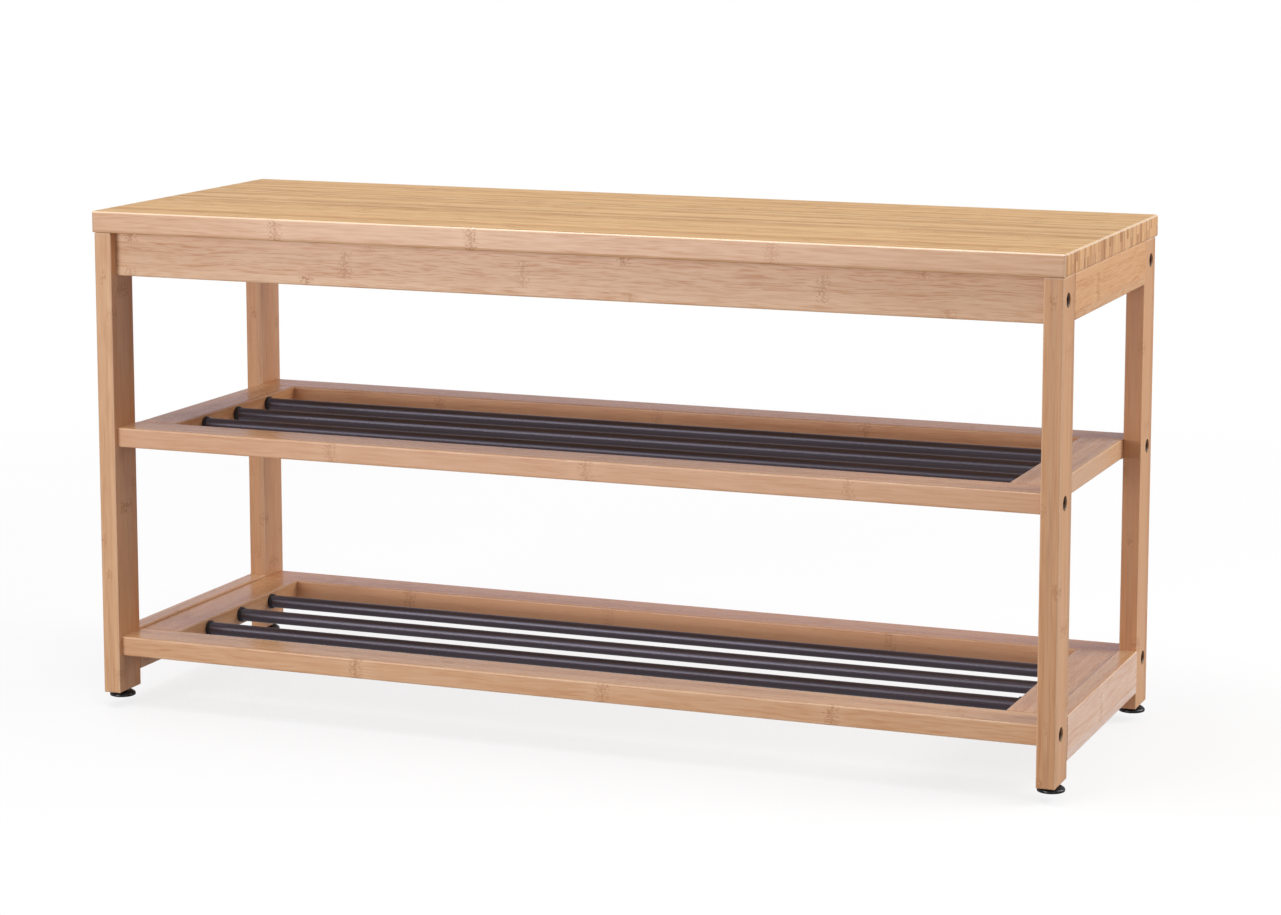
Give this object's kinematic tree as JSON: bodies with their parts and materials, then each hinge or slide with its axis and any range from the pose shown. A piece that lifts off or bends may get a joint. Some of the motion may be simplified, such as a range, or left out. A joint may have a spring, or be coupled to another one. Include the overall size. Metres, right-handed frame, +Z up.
{
  "type": "entryway bench",
  "caption": "Low backless bench with a flat plank seat on a bamboo frame, with slatted shoe shelves of black steel tube below and screw-adjustable levelling feet.",
  "frame": {"origin": "on the floor, under the middle of the seat", "axes": "+X along the bench to the right as seen from the front, +Y to the back, +Z up; the front faces -Y"},
  "size_m": [0.9174, 0.3302, 0.4572],
  "materials": {
    "bamboo_seat": "satin lacquer, edge-grain bamboo",
    "bamboo_frame": "satin lacquer, flat-grain bamboo",
    "dowel_wood": "raw fluted hardwood",
    "rod_coating": "satin dark brown-black powder coat",
    "cap_plastic": "matt black moulded plastic",
    "bolt_black": "black oxide steel",
    "zinc": "die-cast zinc",
    "plated_steel": "bright zinc-plated steel",
    "foot_plastic": "glossy black moulded plastic"
  },
  "bodies": {
    "bench": {"seat": "bamboo_seat", "leg_front_left": "bamboo_frame", "leg_front_right": "bamboo_frame", "leg_rear_left": "bamboo_frame", "leg_rear_right": "bamboo_frame", "apron_front": "bamboo_frame", "apron_rear": "bamboo_frame", "apron_left": "bamboo_frame", "apron_right": "bamboo_frame", "middle_shelf_rail_front": "bamboo_frame", "middle_shelf_rail_rear": "bamboo_frame", "middle_shelf_rail_left": "bamboo_frame", "middle_shelf_rail_right": "bamboo_frame", "lower_shelf_rail_front": "bamboo_frame", "lower_shelf_rail_rear": "bamboo_frame", "lower_shelf_rail_left": "bamboo_frame", "lower_shelf_rail_right": "bamboo_frame", "side_rail_left": "bamboo_frame", "side_rail_right": "bamboo_frame", "middle_rod_front": "rod_coating", "middle_rod_centre": "rod_coating", "middle_rod_rear": "rod_coating", "lower_rod_front": "rod_coating", "lower_rod_centre": "rod_coating", "lower_rod_rear": "rod_coating", "middle_rod_caps": "cap_plastic", "lower_rod_caps": "cap_plastic", "frame_bolts": "bolt_black", "rail_inserts": "zinc", "seat_screws": "plated_steel", "apron_dowels": "dowel_wood", "side_apron_dowels": "dowel_wood", "side_rail_dowels": "dowel_wood", "middle_shelf_dowels": "dowel_wood", "lower_shelf_dowels": "dowel_wood", "foot_inserts": "zinc"},
    "pad_front_left": {"foot_pad_front_left": "foot_plastic"},
    "stud_front_left": {"foot_stud_front_left": "plated_steel"},
    "pad_front_right": {"foot_pad_front_right": "foot_plastic"},
    "stud_front_right": {"foot_stud_front_right": "plated_steel"},
    "pad_rear_left": {"foot_pad_rear_left": "foot_plastic"},
    "stud_rear_left": {"foot_stud_rear_left": "plated_steel"},
    "pad_rear_right": {"foot_pad_rear_right": "foot_plastic"},
    "stud_rear_right": {"foot_stud_rear_right": "plated_steel"}
  },
  "joints": [
    {"name": "foot_height_front_left", "type": "slide", "parent": "bench", "child": "pad_front_left", "axis": [0, 0, -1], "range_m": [0, 0.008]},
    {"name": "stud_turn_front_left", "type": "hinge", "parent": "pad_front_left", "child": "stud_front_left", "pos_m": [-0.4467, -0.1446, 0], "axis": [0, 0, -1], "range_deg": [0, 2880]},
    {"name": "foot_height_front_right", "type": "slide", "parent": "bench", "child": "pad_front_right", "axis": [0, 0, -1], "range_m": [0, 0.008]},
    {"name": "stud_turn_front_right", "type": "hinge", "parent": "pad_front_right", "child": "stud_front_right", "pos_m": [0.4467, -0.1446, 0], "axis": [0, 0, -1], "range_deg": [0, 2880]},
    {"name": "foot_height_rear_left", "type": "slide", "parent": "bench", "child": "pad_rear_left", "axis": [0, 0, -1], "range_m": [0, 0.008]},
    {"name": "stud_turn_rear_left", "type": "hinge", "parent": "pad_rear_left", "child": "stud_rear_left", "pos_m": [-0.4467, 0.1446, 0], "axis": [0, 0, -1], "range_deg": [0, 2880]},
    {"name": "foot_height_rear_right", "type": "slide", "parent": "bench", "child": "pad_rear_right", "axis": [0, 0, -1], "range_m": [0, 0.008]},
    {"name": "stud_turn_rear_right", "type": "hinge", "parent": "pad_rear_right", "child": "stud_rear_right", "pos_m": [0.4467, 0.1446, 0], "axis": [0, 0, -1], "range_deg": [0, 2880]}
  ],
  "couplings": [
    {"joint": "stud_turn_front_left", "follows": "foot_height_front_left", "rad_per_m": 6283.2},
    {"joint": "stud_turn_front_right", "follows": "foot_height_front_right", "rad_per_m": 6283.2},
    {"joint": "stud_turn_rear_left", "follows": "foot_height_rear_left", "rad_per_m": 6283.2},
    {"joint": "stud_turn_rear_right", "follows": "foot_height_rear_right", "rad_per_m": 6283.2}
  ]
}
